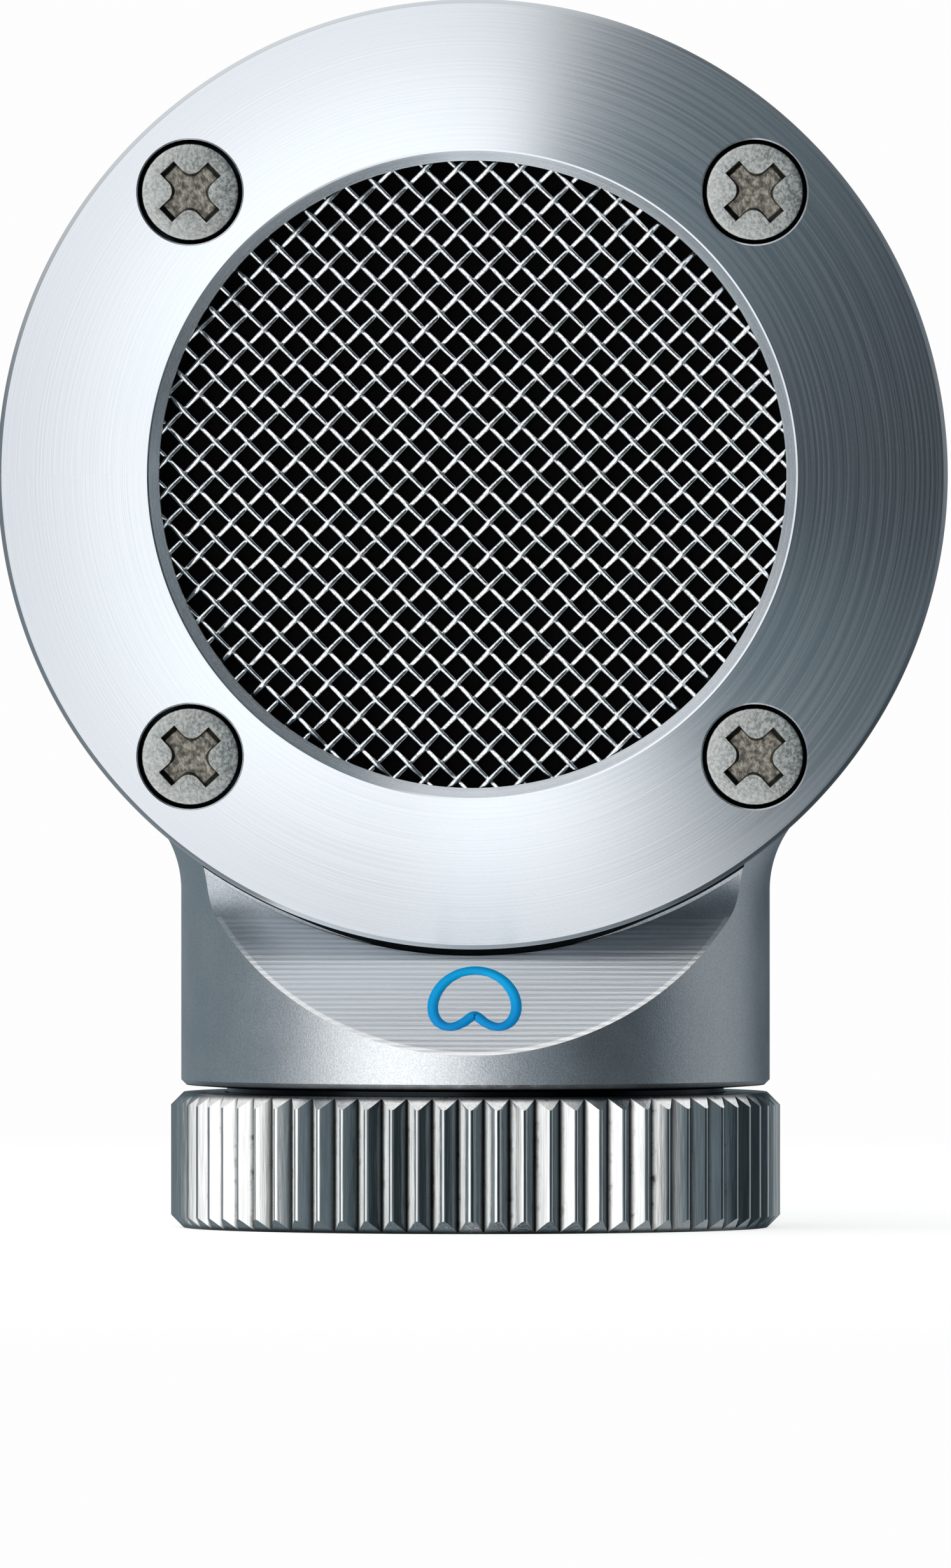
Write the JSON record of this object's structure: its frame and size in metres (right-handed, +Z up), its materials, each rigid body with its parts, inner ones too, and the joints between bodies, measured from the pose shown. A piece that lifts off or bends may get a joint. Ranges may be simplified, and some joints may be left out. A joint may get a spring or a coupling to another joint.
{
  "type": "microphone capsule",
  "caption": "Side-address microphone capsule head with bezelled wire grilles front and rear, a faceted neck and a captive knurled coupling ring.",
  "frame": {"origin": "centre of the coupling ring's bottom face, on which the capsule stands", "axes": "+Z up along the neck and the ring's axis, the front bezel faces -Y, +X is to the right seen from the front"},
  "size_m": [0.032, 0.0206, 0.0416],
  "materials": {
    "blasted_nickel": "satin",
    "turned_nickel": "satin",
    "polished_nickel": "polished",
    "steel_wire": "polished",
    "screw_nickel": "satin",
    "black_gauze": "matte",
    "black_rubber": "matte",
    "cartridge_brass": "satin",
    "gold_film": "gloss",
    "white_insulator": "matte",
    "damping_cloth": "matte",
    "contact_gold": "polished",
    "wire_insulation": "gloss"
  },
  "bodies": {
    "head": {"head_housing": "blasted_nickel", "front_bezel": "turned_nickel", "rear_bezel": "turned_nickel", "front_grille": "steel_wire", "rear_grille": "steel_wire", "front_bezel_screws": "screw_nickel", "rear_bezel_screws": "screw_nickel", "front_acoustic_screen": "black_gauze", "rear_acoustic_screen": "black_gauze", "front_grille_gasket": "black_rubber", "rear_grille_gasket": "black_rubber", "cartridge_gasket": "black_rubber", "cartridge_shell": "cartridge_brass", "cartridge_nut": "cartridge_brass", "diaphragm_ring": "cartridge_brass", "diaphragm": "gold_film", "diaphragm_spacer": "white_insulator", "backplate": "cartridge_brass", "backplate_insulator": "white_insulator", "damping_disc": "damping_cloth", "rear_port_plate": "cartridge_brass", "stack_lock_ring": "cartridge_brass", "backplate_terminal": "contact_gold", "signal_lead": "wire_insulation", "coupling_spigot": "polished_nickel", "contact_insulator": "white_insulator", "centre_contact": "contact_gold", "contact_nut": "contact_gold"},
    "ring": {"coupling_ring": "polished_nickel"}
  },
  "joints": [
    {"name": "ring_turn", "type": "hinge", "parent": "head", "child": "ring", "pos_m": [0, 0, 0.0023], "axis": [0, 0, 1], "continuous": true}
  ]
}
